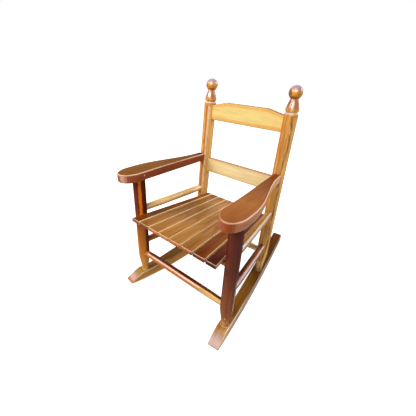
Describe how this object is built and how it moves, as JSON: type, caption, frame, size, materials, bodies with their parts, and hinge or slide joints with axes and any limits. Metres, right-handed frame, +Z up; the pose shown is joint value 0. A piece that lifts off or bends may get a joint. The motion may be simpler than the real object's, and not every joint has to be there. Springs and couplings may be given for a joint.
{
  "type": "child rocking chair",
  "caption": "Child's wooden rocking chair with turned posts and ball finials, shaped arms, a slatted tapering seat, plain back rails and curved sawn rockers.",
  "frame": {"origin": "on the floor under the middle of the chair's box, midway along the rockers", "axes": "+Z up, -Y towards the front of the chair, +X towards the right as seen from the front"},
  "size_m": [0.3608, 0.4798, 0.5699],
  "materials": {
    "rocker_wood": "golden-brown stained hardwood under glossy lacquer",
    "front_post_wood": "dark reddish-brown stained hardwood under glossy lacquer",
    "back_post_wood": "golden-orange oak with dark grain under glossy lacquer",
    "arm_wood": "reddish-brown stained hardwood under glossy lacquer",
    "pale_rail_wood": "pale natural hardwood under clear lacquer",
    "slat_wood": "olive to mid-brown stained hardwood under glossy lacquer",
    "batten_wood": "mid-brown hardwood under clear lacquer",
    "rung_wood": "orange-brown stained hardwood under glossy lacquer"
  },
  "bodies": {
    "root": {"rocker_left": "rocker_wood", "rocker_right": "rocker_wood", "front_post_left": "front_post_wood", "front_post_right": "front_post_wood", "back_post_left": "back_post_wood", "back_post_right": "back_post_wood", "armrest_left": "arm_wood", "armrest_right": "arm_wood", "crest_rail": "pale_rail_wood", "lower_back_rail": "pale_rail_wood", "seat_slat_1": "slat_wood", "seat_slat_2": "slat_wood", "seat_slat_3": "slat_wood", "seat_slat_4": "slat_wood", "seat_slat_5": "slat_wood", "seat_slat_6": "slat_wood", "seat_slat_7": "slat_wood", "seat_slat_8": "slat_wood", "seat_batten_front": "batten_wood", "seat_batten_back": "batten_wood", "seat_rung_front": "rung_wood", "seat_rung_back": "rung_wood", "side_rung_upper_left": "rung_wood", "side_rung_upper_right": "rung_wood", "side_rung_lower_left": "rung_wood", "side_rung_lower_right": "rung_wood", "front_stretcher": "rung_wood", "back_stretcher": "rung_wood"}
  },
  "joints": []
}
